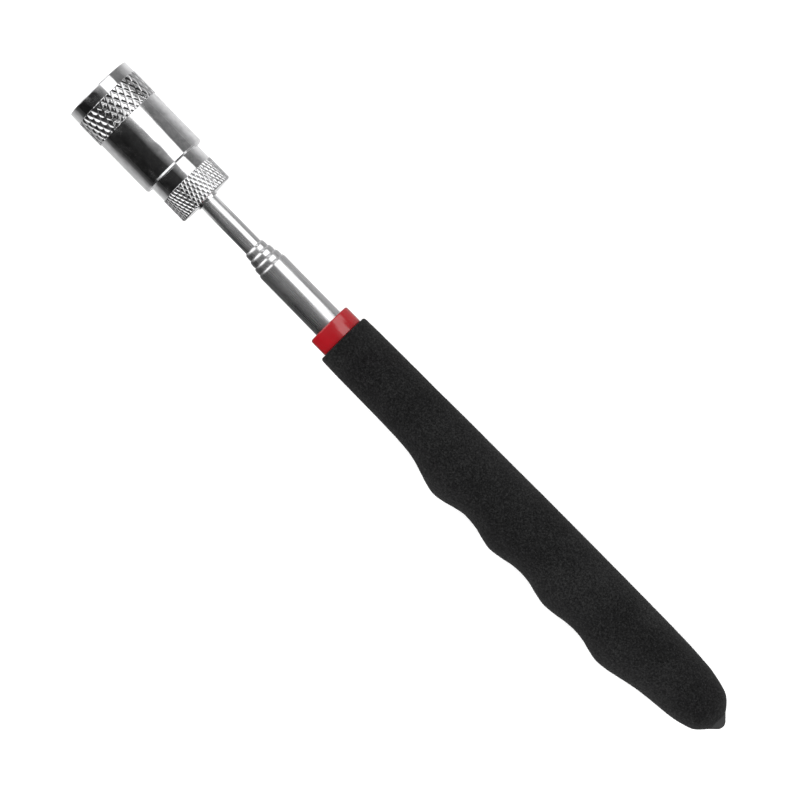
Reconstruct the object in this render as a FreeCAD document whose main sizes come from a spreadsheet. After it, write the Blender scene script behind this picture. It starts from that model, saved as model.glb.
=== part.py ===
import FreeCAD, Part
import math
import os
from types import SimpleNamespace

import Sketcher
from FreeCAD import Placement, Rotation, Vector

# Telescoping magnetic pickup tool with a lit head, closed and lying on its side.
#
# Frame: millimetres, +Z up. +X runs along the shaft towards the magnet, +Y is the side of the finger
# grooves. The origin is at the centre of the base of the bounding box.
#
# A station is a distance along the shaft, counted back from the front of the head. Every piece is drawn
# from its own front end, at 0, towards the tail, and its Placement sets that end at its station.

# Each driving dimension: its name in the sheet, its value, what it is.
DRIVING = [
    ("closed_length", 228.2, "head front to grip tip, all sections in"),
    # head barrel
    ("barrel_length", 28.1, "barrel, front lip to rear edge"),
    ("lip_radius", 9.68, "front lip, outside"),
    ("coarse_radius", 9.82, "coarse knurl, over its crests"),
    ("coarse_start", 3.4, "coarse knurl, front edge"),
    ("coarse_end", 11.2, "coarse knurl, rear edge"),
    ("barrel_radius", 9.5, "barrel behind the knurl, outside"),
    ("barrel_bore", 7.4, "bore behind the magnet"),
    ("thread_bore", 7.8, "female thread, as a plain bore"),
    ("thread_depth", 6.6, "female thread, length from the rear edge"),
    ("edge_break", 0.35, "chamfer on turned outside edges"),
    # magnet and lamp
    ("magnet_inset", 0.3, "magnet face behind the lip"),
    ("magnet_radius", 8.15, "ring magnet, outside"),
    ("magnet_bore", 3.1, "ring magnet, hole for the lamp"),
    ("magnet_thick", 5.0, "ring magnet, thickness"),
    ("washer_thick", 1.0, "steel backing washer, thickness"),
    ("lamp_inset", 1.2, "tip of the lamp behind the lip"),
    ("lamp_radius", 2.5, "lamp body"),
    ("lamp_length", 8.6, "lamp, tip to base"),
    ("lamp_rim", 2.9, "lamp base rim, radius"),
    ("lamp_rim_thick", 1.0, "lamp base rim, thickness"),
    ("lead_side", 0.5, "lamp leads, square side"),
    ("lead_pitch", 2.54, "between the lamp leads"),
    ("holder_length", 5.2, "lamp holder, length"),
    ("board_thick", 1.0, "contact board, thickness"),
    ("stud_radius", 2.0, "contact stud on the board"),
    ("stud_thick", 0.5, "contact stud, height"),
    # cells and their liner
    ("cell_radius", 5.8, "button cell"),
    ("cell_height", 5.4, "button cell, over both poles"),
    ("cell_pole_radius", 4.6, "negative pole of a cell"),
    ("cell_pole_height", 0.3, "negative pole, step"),
    ("liner_wall", 0.5, "insulating liner, wall"),
    ("liner_front_length", 7.6, "liner, thick front part"),
    ("liner_length", 15.9, "liner, whole length"),
    # tail cap
    ("cap_gap", 0.2, "barrel edge to cap shoulder with the lamp off"),
    ("cap_radius", 7.95, "tail cap, smooth part"),
    ("fine_radius", 8.2, "fine knurl, over its crests"),
    ("fine_start", 32.6, "fine knurl, front edge"),
    ("fine_end", 39.9, "fine knurl, rear edge"),
    ("cap_end", 40.5, "end of the boss round the shaft"),
    ("boss_radius", 3.15, "boss round the shaft"),
    ("spigot_length", 5.6, "male thread, length ahead of the shoulder"),
    ("cap_bore", 6.6, "cap cavity round the liner"),
    ("spring_bay", 5.4, "cap cavity round the spring"),
    ("bay_end", 36.5, "floor of the spring bay"),
    ("seal_radius", 0.42, "O-ring, section"),
    ("seal_setback", 0.95, "O-ring centre ahead of the shoulder"),
    ("seal_groove", 0.9, "depth of the O-ring groove"),
    ("shaft_washer_thick", 0.6, "washer inside the cap, thickness"),
    ("shaft_washer_radius", 5.2, "washer inside the cap, outside"),
    ("spring_wire", 0.25, "contact spring, wire radius"),
    ("spring_radius", 3.9, "contact spring, mean radius"),
    ("spring_turns", 4.5, "contact spring, turns"),
    # telescoping shaft; section 1 carries the head and section 5 is fixed in the grip
    ("shaft_radius", 2.55, "section 1, outside"),
    ("shaft_step", 0.425, "each section's radius over the one inside it"),
    ("tube_wall", 0.22, "wall of every section"),
    ("mouth_2", 56.9, "station of the mouth of section 2"),
    ("mouth_pitch", 2.1, "from one mouth to the next"),
    ("mouth_bead", 0.1, "swelling of a mouth over its tube"),
    ("mouth_lip", 1.2, "length of the rolled-in lip"),
    ("mouth_round", 0.28, "rounding of a mouth"),
    ("travel_1", 135.0, "section 1 out of section 2"),
    ("travel_2", 143.0, "section 2 out of section 3"),
    ("travel_3", 147.0, "section 3 out of section 4"),
    ("travel_4", 147.0, "section 4 out of section 5"),
    ("rivet_radius", 3.1, "front flare of section 1"),
    ("rivet_thick", 0.4, "front flare of section 1, thickness"),
    ("ridge_height", 0.1, "ridge that keeps the sleeve on its tube"),
    ("ridge_length", 0.35, "that ridge, along the tube"),
    ("sleeve_length", 4.4, "friction sleeve"),
    ("sleeve_slit", 0.7, "width of the slit along a friction sleeve"),
    ("flare_length", 1.1, "flared rear end of a section"),
    ("tail_5", 221.8, "rear end of section 5"),
    ("running", 0.05, "radial clearance of a mouth on its tube"),
    ("easy", 0.03, "radial clearance of a friction sleeve"),
    ("end_play", 0.05, "axial clearance between moving pieces"),
    # collar, grip and plug
    ("collar_start", 84.2, "front of the collar"),
    ("collar_radius", 6.3, "collar, outside"),
    ("collar_round", 0.7, "rounding of the collar's front rim"),
    ("collar_spigot", 5.3, "collar spigot inside the grip, radius"),
    ("collar_spigot_length", 18.0, "collar spigot inside the grip"),
    ("grip_start", 89.4, "front of the foam grip"),
    ("plug_radius", 2.7, "nose of the end plug"),
    ("plug_depth", 2.5, "end plug inside section 5"),
    ("plug_flange", 1.0, "flange of the end plug"),
    ("plug_round", 1.6, "rounding of the plug's tip"),
    ("fit_gap", 0.02, "radial gap between pieces fixed together"),
]

# Cross-sections of the grip, each an ellipse: name, distance from the grip's front, reach from the shaft's
# centre line on the palm side, on the finger side, and half the height.
GRIP_SECTIONS = [
    ("mouth", 0.0, 7.25, 7.35, 7.2),
    ("shoulder", 1.1, 7.65, 7.8, 7.65),
    ("front", 9.0, 7.87, 7.87, 7.8),
    ("neck", 18.0, 8.03, 7.88, 7.92),
    ("waist", 27.0, 8.17, 8.0, 8.0),
    ("swell", 34.0, 8.24, 8.62, 8.25),
    ("crest_one", 44.3, 8.35, 11.3, 9.0),
    ("groove_one", 54.0, 8.48, 9.3, 8.7),
    ("crest_two", 64.2, 8.6, 10.9, 9.3),
    ("groove_two", 74.4, 8.68, 9.36, 8.95),
    ("crest_three", 84.6, 8.72, 11.0, 9.6),
    ("groove_three", 95.0, 8.75, 9.87, 9.25),
    ("crest_four", 104.2, 8.75, 11.46, 9.82),
    ("heel", 117.7, 8.75, 8.9, 8.75),
    ("nose_one", 125.8, 8.0, 8.0, 7.95),
    ("nose_two", 130.0, 7.3, 7.3, 7.25),
    ("nose_three", 133.0, 6.4, 6.4, 6.35),
    ("nose_four", 135.1, 4.75, 4.75, 4.7),
    ("nose_five", 136.6, 3.05, 3.05, 3.0),
]


class Dim:
    """A length that knows its value and the sheet formula that gives it."""

    def __init__(self, value, formula):
        self.value = value
        self.formula = formula

    def __add__(self, other):
        return combined(self, "+", other)

    def __radd__(self, other):
        return combined(other, "+", self)

    def __sub__(self, other):
        return combined(self, "-", other)

    def __rsub__(self, other):
        return combined(other, "-", self)

    def __mul__(self, other):
        return combined(self, "*", other)

    def __truediv__(self, other):
        return combined(self, "/", other)


def as_dim(number):
    return number if isinstance(number, Dim) else Dim(float(number), str(number))


def combined(left, sign, right):
    left, right = as_dim(left), as_dim(right)
    value = {
        "+": left.value + right.value,
        "-": left.value - right.value,
        "*": left.value * right.value,
        "/": left.value / right.value if right.value else math.inf,
    }[sign]
    return Dim(value, f"({left.formula} {sign} {right.formula})")


doc = FreeCAD.newDocument("pickup_tool")


def make_sheet(name, rows):
    """A sheet with a name, a number and a note on each row, and the numbers as Dims."""
    sheet = doc.addObject("Spreadsheet::Sheet", name)
    dims = {}
    for row, (alias, value, note) in enumerate(rows, start=1):
        sheet.set(f"A{row}", alias)
        sheet.set(f"B{row}", str(value))
        sheet.set(f"C{row}", note)
        sheet.setAlias(f"B{row}", alias)
        dims[alias] = Dim(value, f"{name}.{alias}")
    return dims


size = SimpleNamespace(**make_sheet("Sizes", DRIVING))

SECTION_COLUMNS = ("along", "palm", "finger", "half")
grip_size = make_sheet(
    "Grip",
    [
        (f"{name}_{column}", value, f"{name}, {column}")
        for name, *values in GRIP_SECTIONS
        for column, value in zip(SECTION_COLUMNS, values)
    ],
)
doc.recompute()

# The widest crest reaches furthest on the finger side and the coarse knurl on the palm side and below.
widest_reach = grip_size["crest_four_finger"]
axis_y = (size.coarse_radius - widest_reach) / 2
axis_z = size.coarse_radius

made = {}


def bind(obj, path, dim):
    """Sets a property of an object from the sheet."""
    obj.setExpression(path, as_dim(dim).formula)


def put(obj, station):
    """Sets a finished piece on the shaft's centre line with its front end at a station."""
    obj.Placement = Placement(Vector(), Rotation(Vector(0, 0, 1), 180))
    bind(obj, "Placement.Base.x", size.closed_length / 2 - station)
    bind(obj, "Placement.Base.y", axis_y)
    bind(obj, "Placement.Base.z", axis_z)


def register(obj, name, station):
    obj.Label = name
    put(obj, station)
    made[name] = obj


def origin_feature(body, role):
    return next(f for f in body.Origin.OriginFeatures if f.Role == role)


def place_point(sketch, line, axis, distance):
    """Fixes the start of a sketch line at a distance from the origin along one axis."""
    if distance.value == 0:
        other_axis = -2 if axis == "X" else -1
        sketch.addConstraint(Sketcher.Constraint("PointOnObject", line, 1, other_axis))
        return
    constraint = Sketcher.Constraint(f"Distance{axis}", -1, 1, line, 1, distance.value)
    index = sketch.addConstraint(constraint)
    name = f"point_{line}_{axis.lower()}"
    sketch.renameConstraint(index, name)
    bind(sketch, f"Constraints.{name}", distance)


def outline(body, name, points, plane="XY_Plane"):
    """A closed sketch of straight lines through points whose coordinates come from the sheet."""
    sketch = body.newObject("Sketcher::SketchObject", name)
    sketch.AttachmentSupport = (origin_feature(body, plane), [""])
    sketch.MapMode = "FlatFace"
    points = [(as_dim(x), as_dim(y)) for x, y in points]
    corners = [Vector(x.value, y.value, 0) for x, y in points]
    following = corners[1:] + corners[:1]
    for start, end in zip(corners, following):
        sketch.addGeometry(Part.LineSegment(start, end), False)
    for line in range(len(points)):
        following_line = (line + 1) % len(points)
        sketch.addConstraint(Sketcher.Constraint("Coincident", line, 2, following_line, 1))
    for line, (x, y) in enumerate(points):
        place_point(sketch, line, "X", x)
        place_point(sketch, line, "Y", y)
    sketch.Visibility = False
    return sketch


def turned(name, station, points):
    """A piece turned about the shaft's centre line; each point is (distance along, radius)."""
    body = doc.addObject("PartDesign::Body", f"{name}_body")
    sketch = outline(body, f"{name}_outline", points)
    turn = body.newObject("PartDesign::Revolution", f"{name}_turn")
    turn.Profile = sketch
    turn.ReferenceAxis = (sketch, ["H_Axis"])
    turn.Angle = 360.0
    register(body, name, station)
    doc.recompute()
    return body


def circles_at(body, places):
    """Names of the circular edges of a turned body at the given (distance along, radius)."""
    names = []
    for number, edge in enumerate(body.Tip.Shape.Edges, start=1):
        if not isinstance(edge.Curve, Part.Circle):
            continue
        for along, radius in places:
            same_place = abs(edge.Curve.Center.x - as_dim(along).value) < 1e-4
            if same_place and abs(edge.Curve.Radius - as_dim(radius).value) < 1e-4:
                names.append(f"Edge{number}")
    return names


def rounded(body, places, radius):
    """Rounds circular edges of a turned body."""
    finish_edges(body, "PartDesign::Fillet", "Radius", places, radius)


def chamfered(body, places, width):
    """Chamfers circular edges of a turned body."""
    finish_edges(body, "PartDesign::Chamfer", "Size", places, width)


def finish_edges(body, kind, property_name, places, amount):
    edges = circles_at(body, places)
    if len(edges) != len(places):
        raise ValueError(f"{body.Label}: {len(places)} edges expected, {len(edges)} found")
    base = body.Tip
    feature = body.newObject(kind, f"{body.Label}_{property_name.lower()}")
    feature.Base = (base, edges)
    setattr(feature, property_name, amount.value)
    bind(feature, property_name, amount)
    base.Visibility = False
    doc.recompute()


def cut_through(body, name, points, plane, reverse):
    """Cuts an outline right through a body on one side of a plane, and checks that it cut something."""
    before = body.Tip.Shape.Volume
    sketch = outline(body, f"{name}_cut_outline", points, plane)
    pocket = body.newObject("PartDesign::Pocket", f"{name}_cut")
    pocket.Profile = sketch
    pocket.Type = "ThroughAll"
    pocket.Reversed = reverse
    doc.recompute()
    if not body.Tip.Shape.Volume < before - 1e-6:
        raise ValueError(f"{name}: the cut removed nothing")


def ring(name, station, inner, outer, length):
    """A plain turned ring, or a disc where the inner radius is 0."""
    return turned(name, station, [(0, inner), (0, outer), (length, outer), (length, inner)])


# ---- Head: barrel, magnet and lamp ----

magnet_front = size.magnet_inset
washer_front = magnet_front + size.magnet_thick
holder_front = washer_front + size.washer_thick + size.fit_gap
board_front = holder_front + size.holder_length
board_rear = board_front + size.board_thick
stud_rear = board_rear + size.stud_thick


def head_barrel():
    pocket = size.magnet_radius + size.fit_gap
    seat = washer_front + size.washer_thick
    thread_start = size.barrel_length - size.thread_depth
    body = turned(
        "head_barrel",
        Dim(0.0, "0"),
        [
            (0, pocket),
            (0, size.lip_radius),
            (size.coarse_start, size.lip_radius),
            (size.coarse_start, size.coarse_radius),
            (size.coarse_end, size.coarse_radius),
            (size.coarse_end, size.barrel_radius),
            (size.barrel_length, size.barrel_radius),
            (size.barrel_length, size.thread_bore),
            (thread_start, size.thread_bore),
            (thread_start, size.barrel_bore),
            (seat, size.barrel_bore),
            (seat, pocket),
        ],
    )
    outer_edges = [(0, size.lip_radius), (size.barrel_length, size.barrel_radius)]
    chamfered(body, outer_edges, size.edge_break)


def ring_magnet():
    body = ring("ring_magnet", magnet_front, size.magnet_bore, size.magnet_radius, size.magnet_thick)
    chamfered(body, [(0, size.magnet_radius), (0, size.magnet_bore)], size.edge_break)


def pole_washer():
    ring("pole_washer", washer_front, size.magnet_bore, size.magnet_radius, size.washer_thick)


def lamp():
    rim_front = size.lamp_length - size.lamp_rim_thick
    body = turned(
        "led",
        size.lamp_inset,
        [
            (0, 0),
            (0, size.lamp_radius),
            (rim_front, size.lamp_radius),
            (rim_front, size.lamp_rim),
            (size.lamp_length, size.lamp_rim),
            (size.lamp_length, 0),
        ],
    )
    rounded(body, [(0, size.lamp_radius)], size.lamp_radius * 0.98)


def lamp_leads():
    """Two square leads from the lamp's base into the contact board, as one node."""
    start = size.lamp_inset + size.lamp_length
    length = board_front + size.board_thick / 2 - start
    leads = []
    for side in (-1, 1):
        lead = doc.addObject("Part::Box", "lead")
        bind(lead, "Length", length)
        bind(lead, "Width", size.lead_side)
        bind(lead, "Height", size.lead_side)
        bind(lead, "Placement.Base.y", size.lead_pitch * (side / 2) - size.lead_side / 2)
        bind(lead, "Placement.Base.z", size.lead_side * -0.5)
        leads.append(lead)
    pair = doc.addObject("Part::Compound", "led_leads_pair")
    pair.Links = leads
    register(pair, "led_leads", start)


def lamp_holder():
    """An insulating bush stepped to take the lamp's body, its rim and its leads."""
    outer = size.barrel_bore - size.fit_gap
    body_hole = size.lamp_radius + size.fit_gap
    rim_hole = size.lamp_rim + size.fit_gap
    rim_front = size.lamp_inset + size.lamp_length - size.lamp_rim_thick - size.fit_gap - holder_front
    rim_rear = size.lamp_inset + size.lamp_length + size.fit_gap - holder_front
    lead_hole = size.lamp_radius * 0.8
    turned(
        "led_holder",
        holder_front,
        [
            (0, body_hole),
            (0, outer),
            (size.holder_length, outer),
            (size.holder_length, lead_hole),
            (rim_rear, lead_hole),
            (rim_rear, rim_hole),
            (rim_front, rim_hole),
            (rim_front, body_hole),
        ],
    )


def contact_board():
    """A round board with a square hole for each lamp lead."""
    body = ring("contact_board", board_front, Dim(0.0, "0"), size.barrel_bore - size.fit_gap, size.board_thick)
    half_hole = size.lead_side / 2 + size.fit_gap
    for side in (-1, 1):
        middle = size.lead_pitch * (side / 2)
        low, high = middle - half_hole, middle + half_hole
        corners = [
            (low, half_hole * -1),
            (high, half_hole * -1),
            (high, half_hole),
            (low, half_hole),
        ]
        cut_through(body, f"lead_hole_{side + 2}", corners, "YZ_Plane", True)


def contact_stud():
    ring("contact_stud", board_rear, Dim(0.0, "0"), size.stud_radius, size.stud_thick)


# ---- Battery: three cells in an insulating liner ----

liner_front = board_rear + size.end_play
first_cell = stud_rear + size.end_play
CELLS = 3


def battery_liner():
    """A liner that fills the barrel in front and slips inside the tail cap behind."""
    bore = size.cell_radius + size.end_play
    front_outer = size.barrel_bore - size.running * 2
    rear_outer = bore + size.liner_wall
    turned(
        "battery_liner",
        liner_front,
        [
            (0, bore),
            (0, front_outer),
            (size.liner_front_length, front_outer),
            (size.liner_front_length, rear_outer),
            (size.liner_length, rear_outer),
            (size.liner_length, bore),
        ],
    )


def button_cell(number):
    can_height = size.cell_height - size.cell_pole_height
    body = turned(
        f"button_cell_{number}",
        first_cell + size.cell_height * (number - 1),
        [
            (0, 0),
            (0, size.cell_radius),
            (can_height, size.cell_radius),
            (can_height, size.cell_pole_radius),
            (size.cell_height, size.cell_pole_radius),
            (size.cell_height, 0),
        ],
    )
    rounded(body, [(0, size.cell_radius)], size.edge_break)


# ---- Tail cap ----

cap_shoulder = size.barrel_length + size.cap_gap
spigot_front = cap_shoulder - size.spigot_length
spring_front = first_cell + size.cell_height * CELLS + size.cap_gap
washer_station = size.bay_end - size.shaft_washer_thick


def tail_cap():
    """The knurled cap that the barrel screws onto, with the spring bay and the hole for the shaft."""
    spigot_outer = size.thread_bore - size.running
    groove_front = size.spigot_length - size.seal_setback - size.seal_radius - size.fit_gap
    groove_rear = size.spigot_length - size.seal_setback + size.seal_radius + size.fit_gap
    groove_floor = spigot_outer - size.seal_groove
    cell_room = spring_front - spigot_front
    shaft_hole = size.shaft_radius + size.fit_gap
    body = turned(
        "tail_cap",
        spigot_front,
        [
            (0, size.cap_bore),
            (0, spigot_outer),
            (groove_front, spigot_outer),
            (groove_front, groove_floor),
            (groove_rear, groove_floor),
            (groove_rear, spigot_outer),
            (size.spigot_length, spigot_outer),
            (size.spigot_length, size.cap_radius),
            (size.fine_start - spigot_front, size.cap_radius),
            (size.fine_start - spigot_front, size.fine_radius),
            (size.fine_end - spigot_front, size.fine_radius),
            (size.fine_end - spigot_front, size.boss_radius),
            (size.cap_end - spigot_front, size.boss_radius),
            (size.cap_end - spigot_front, shaft_hole),
            (size.bay_end - spigot_front, shaft_hole),
            (size.bay_end - spigot_front, size.spring_bay),
            (cell_room, size.spring_bay),
            (cell_room, size.cap_bore),
        ],
    )
    chamfered(body, [(size.fine_end - spigot_front, size.fine_radius)], size.edge_break)


def o_ring():
    centre_radius = size.thread_bore - size.running - size.seal_groove + size.seal_radius + size.fit_gap
    seal = doc.addObject("Part::Torus", "seal")
    bind(seal, "Radius1", centre_radius)
    bind(seal, "Radius2", size.seal_radius)
    seal.Placement = Placement(Vector(), Rotation(Vector(0, 1, 0), 90))
    whole = doc.addObject("Part::Compound", "o_ring_whole")
    whole.Links = [seal]
    register(whole, "o_ring", cap_shoulder - size.seal_setback)


def shaft_washer():
    bore = size.shaft_radius + size.fit_gap
    ring("shaft_washer", washer_station, bore, size.shaft_washer_radius, size.shaft_washer_thick)


def contact_spring():
    """A helical spring between the shaft washer and the last cell, just clear of the cell."""
    height = washer_station - spring_front - size.spring_wire * 2
    coil = doc.addObject("Part::Helix", "spring_coil")
    bind(coil, "Height", height)
    bind(coil, "Pitch", height / size.spring_turns)
    bind(coil, "Radius", size.spring_radius)
    wire = doc.addObject("Part::Circle", "spring_wire")
    bind(wire, "Radius", size.spring_wire)
    bind(wire, "Placement.Base.x", size.spring_radius)
    wire.Placement.Rotation = Rotation(Vector(1, 0, 0), 90)
    doc.recompute()
    sweep = doc.addObject("Part::Sweep", "spring_sweep")
    sweep.Sections = [wire]
    sweep.Spine = (coil, [])
    sweep.Solid = True
    sweep.Frenet = True
    sweep.Placement = Placement(Vector(), Rotation(Vector(0, 1, 0), 90))
    whole = doc.addObject("Part::Compound", "spring_whole")
    whole.Links = [sweep]
    register(whole, "contact_spring", spring_front + size.spring_wire)


# ---- Telescoping shaft ----

SECTIONS = 5


def tube_radius(number):
    return size.shaft_radius + size.shaft_step * (number - 1)


def mouth_station(number):
    """Where a section starts; section 1 starts at its flare inside the tail cap."""
    if number == 1:
        return washer_station - size.rivet_thick
    return size.mouth_2 + size.mouth_pitch * (number - 2)


def sleeve_station(number):
    """A friction sleeve's front: pulled out, the ridge ahead of it meets the next section's lip."""
    travel = getattr(size, f"travel_{number}")
    return mouth_station(number + 1) + size.mouth_lip + travel + size.ridge_length + size.end_play * 2


def tube_end(number):
    """The rear end of a section: its flare is just behind its friction sleeve."""
    if number == SECTIONS:
        return size.tail_5
    return sleeve_station(number) + size.sleeve_length + size.end_play + size.flare_length


def tube(number):
    """A thin-walled section: front end, sleeve ridge and flared tail outside, plain bore inside."""
    start = mouth_station(number)
    outer = tube_radius(number)
    bore = outer - size.tube_wall
    length = tube_end(number) - start
    if number == 1:
        front = [(0, bore), (0, size.rivet_radius), (size.rivet_thick, size.rivet_radius), (size.rivet_thick, outer)]
        inside = []
    else:
        lip = tube_radius(number - 1) + size.running
        bead = outer + size.mouth_bead
        bead_length = size.mouth_pitch - size.end_play
        front = [(0, lip), (0, bead), (bead_length, bead), (bead_length, outer)]
        inside = [(size.mouth_lip, bore), (size.mouth_lip, lip)]
    if number == 2:
        # an inward bead that the tail of section 1 rests on when the shaft is closed
        seat_start = tube_end(1) + size.end_play - start
        seat_end = seat_start + size.ridge_length
        seat_radius = bore - size.ridge_height
        inside = [(seat_end, bore), (seat_end, seat_radius), (seat_start, seat_radius), (seat_start, bore)] + inside
    rear = [(length, outer), (length, bore)]
    if number < SECTIONS:
        ridge = outer + size.ridge_height
        ridge_end = sleeve_station(number) - size.end_play - start
        ridge_start = ridge_end - size.ridge_length
        flare = outer + size.shaft_step - size.tube_wall - size.easy
        flare_start = length - size.flare_length
        rear = [
            (ridge_start, outer),
            (ridge_start, ridge),
            (ridge_end, ridge),
            (ridge_end, outer),
            (flare_start, outer),
            (flare_start, flare),
            (length, flare),
            (length, bore),
        ]
    body = turned(f"tube_{number}", start, front + rear + inside)
    if number > 1:
        rounded(body, [(0, bead), (bead_length, bead)], size.mouth_bead * 0.9)


def friction_sleeve(number):
    """A split spring sleeve: a section turns in it, and it slides in the next section."""
    inner = tube_radius(number) + size.easy
    outer = tube_radius(number) + size.shaft_step - size.tube_wall - size.easy
    body = ring(f"friction_sleeve_{number}", sleeve_station(number), inner, outer, size.sleeve_length)
    half_slit = size.sleeve_slit / 2
    beyond = size.sleeve_length + 1
    slit = [(-1, half_slit * -1), (beyond, half_slit * -1), (beyond, half_slit), (-1, half_slit)]
    cut_through(body, f"slit_{number}", slit, "XY_Plane", True)


# ---- Collar, grip and end plug ----

plug_start = size.tail_5 - size.plug_depth
plug_shoulder = size.tail_5 + size.plug_flange
collar_bore = tube_radius(SECTIONS) + size.fit_gap


def red_collar():
    head_length = size.grip_start - size.collar_start
    length = head_length + size.collar_spigot_length
    body = turned(
        "red_collar",
        size.collar_start,
        [
            (0, collar_bore),
            (0, size.collar_radius),
            (head_length, size.collar_radius),
            (head_length, size.collar_spigot),
            (length, size.collar_spigot),
            (length, collar_bore),
        ],
    )
    rounded(body, [(0, size.collar_radius)], size.collar_round)


def end_plug():
    """A plug pressed in the tail of section 5, whose nose shows at the tip of the grip."""
    tube_bore = tube_radius(SECTIONS) - size.tube_wall
    shoulder = plug_shoulder - plug_start
    length = size.closed_length - plug_start
    body = turned(
        "end_plug",
        plug_start,
        [
            (0, 0),
            (0, tube_bore - size.fit_gap),
            (size.plug_depth, tube_bore - size.fit_gap),
            (size.plug_depth, tube_radius(SECTIONS)),
            (shoulder, tube_radius(SECTIONS)),
            (shoulder, size.plug_radius),
            (length, size.plug_radius),
            (length, 0),
        ],
    )
    rounded(body, [(length, size.plug_radius)], size.plug_round)


def grip_section(name):
    """One ellipse across the grip; its major axis lies across the grip's depth."""
    along, palm, finger, half = (grip_size[f"{name}_{column}"] for column in SECTION_COLUMNS)
    section = doc.addObject("Part::Ellipse", f"grip_{name}")
    section.Placement.Rotation = Rotation(Vector(0, 0, 1), 90) * Rotation(Vector(1, 0, 0), 90)
    bind(section, "MajorRadius", (palm + finger) / 2)
    bind(section, "MinorRadius", half)
    bind(section, "Placement.Base.x", along)
    bind(section, "Placement.Base.y", (palm - finger) / 2)
    return section


def bore_tool(name, start, end, radius):
    """A cylinder along the grip's centre line, to cut with."""
    tool = doc.addObject("Part::Cylinder", name)
    tool.Placement.Rotation = Rotation(Vector(0, 1, 0), 90)
    bind(tool, "Placement.Base.x", start)
    bind(tool, "Height", end - start)
    bind(tool, "Radius", radius)
    return tool


def foam_grip():
    """A lofted foam grip, bored for the collar's spigot, section 5 and the end plug."""
    loft = doc.addObject("Part::Loft", "grip_loft")
    loft.Sections = [grip_section(name) for name, *_ in GRIP_SECTIONS]
    loft.Solid = True
    loft.Ruled = False
    spigot_end = as_dim(size.collar_spigot_length) + size.fit_gap
    flange_end = plug_shoulder + size.fit_gap - size.grip_start
    past_tip = size.closed_length - size.grip_start
    tools = [
        bore_tool("bore_for_collar", Dim(-1.0, "-1"), spigot_end, size.collar_spigot + size.fit_gap),
        bore_tool("bore_for_tube", Dim(0.0, "0"), flange_end, tube_radius(SECTIONS) + size.fit_gap),
        bore_tool("bore_for_plug", Dim(0.0, "0"), past_tip, size.plug_radius + size.fit_gap),
    ]
    bores = doc.addObject("Part::MultiFuse", "grip_bores")
    bores.Shapes = tools
    cut = doc.addObject("Part::Cut", "grip_cut")
    cut.Base = loft
    cut.Tool = bores
    register(cut, "foam_grip", size.grip_start)


# ---- Build, check and write ----

def build_all():
    head_barrel()
    ring_magnet()
    pole_washer()
    lamp()
    lamp_leads()
    lamp_holder()
    contact_board()
    contact_stud()
    battery_liner()
    for number in range(1, CELLS + 1):
        button_cell(number)
    tail_cap()
    o_ring()
    shaft_washer()
    contact_spring()
    for number in range(1, SECTIONS + 1):
        tube(number)
    for number in range(1, SECTIONS):
        friction_sleeve(number)
    red_collar()
    end_plug()
    foam_grip()
    doc.recompute()


def check_all():
    for obj in doc.Objects:
        if "Invalid" in obj.State or "Error" in obj.State:
            raise ValueError(f"{obj.Name} failed: {obj.State}")
    for name, obj in made.items():
        shape = obj.Shape
        if shape.isNull() or not shape.isValid() or not shape.Solids:
            raise ValueError(f"{name}: its shape is empty or not valid")


def write_all():
    os.makedirs("parts", exist_ok=True)
    for name, obj in made.items():
        obj.Shape.exportStep(f"parts/{name}.step")
        box = obj.Shape.BoundBox
        print(
            f"{name:20s} x {box.XMin:8.2f} {box.XMax:8.2f}  y {box.YMin:7.2f} {box.YMax:7.2f}"
            f"  z {box.ZMin:7.2f} {box.ZMax:7.2f}  volume {obj.Shape.Volume:9.1f}"
        )


build_all()
check_all()
write_all()
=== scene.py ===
"""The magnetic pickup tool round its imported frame: visible surfaces, materials, light and camera."""

import math

import bpy
import numpy as np
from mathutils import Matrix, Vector, noise


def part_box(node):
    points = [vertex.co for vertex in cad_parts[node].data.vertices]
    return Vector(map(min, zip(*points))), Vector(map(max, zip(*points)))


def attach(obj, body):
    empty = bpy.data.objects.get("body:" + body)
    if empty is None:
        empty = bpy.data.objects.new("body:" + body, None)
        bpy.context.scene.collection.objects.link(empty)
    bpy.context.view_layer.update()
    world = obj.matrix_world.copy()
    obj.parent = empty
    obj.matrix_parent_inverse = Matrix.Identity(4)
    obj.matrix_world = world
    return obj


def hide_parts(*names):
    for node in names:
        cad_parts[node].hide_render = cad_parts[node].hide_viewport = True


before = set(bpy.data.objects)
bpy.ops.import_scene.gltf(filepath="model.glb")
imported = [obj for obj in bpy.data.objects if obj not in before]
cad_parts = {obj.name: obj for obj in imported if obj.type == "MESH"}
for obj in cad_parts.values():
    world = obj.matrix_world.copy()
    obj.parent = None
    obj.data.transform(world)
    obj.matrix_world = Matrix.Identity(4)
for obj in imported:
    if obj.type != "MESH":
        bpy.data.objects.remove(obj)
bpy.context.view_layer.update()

# A station is a distance behind the front of the head. Stations, radii and the other sizes of the pieces
# are in millimetres; the floor, the light and the camera are in metres unless a comment says otherwise.
MM = 0.001
TURN = 2 * math.pi
barrel_low, barrel_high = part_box("head_barrel")
FRONT_X = barrel_high[0]
AXIS_Y = round((barrel_low[1] + barrel_high[1]) / 2, 5)
AXIS_Z = round((barrel_low[2] + barrel_high[2]) / 2, 5)


# ---- Node trees ----


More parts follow.
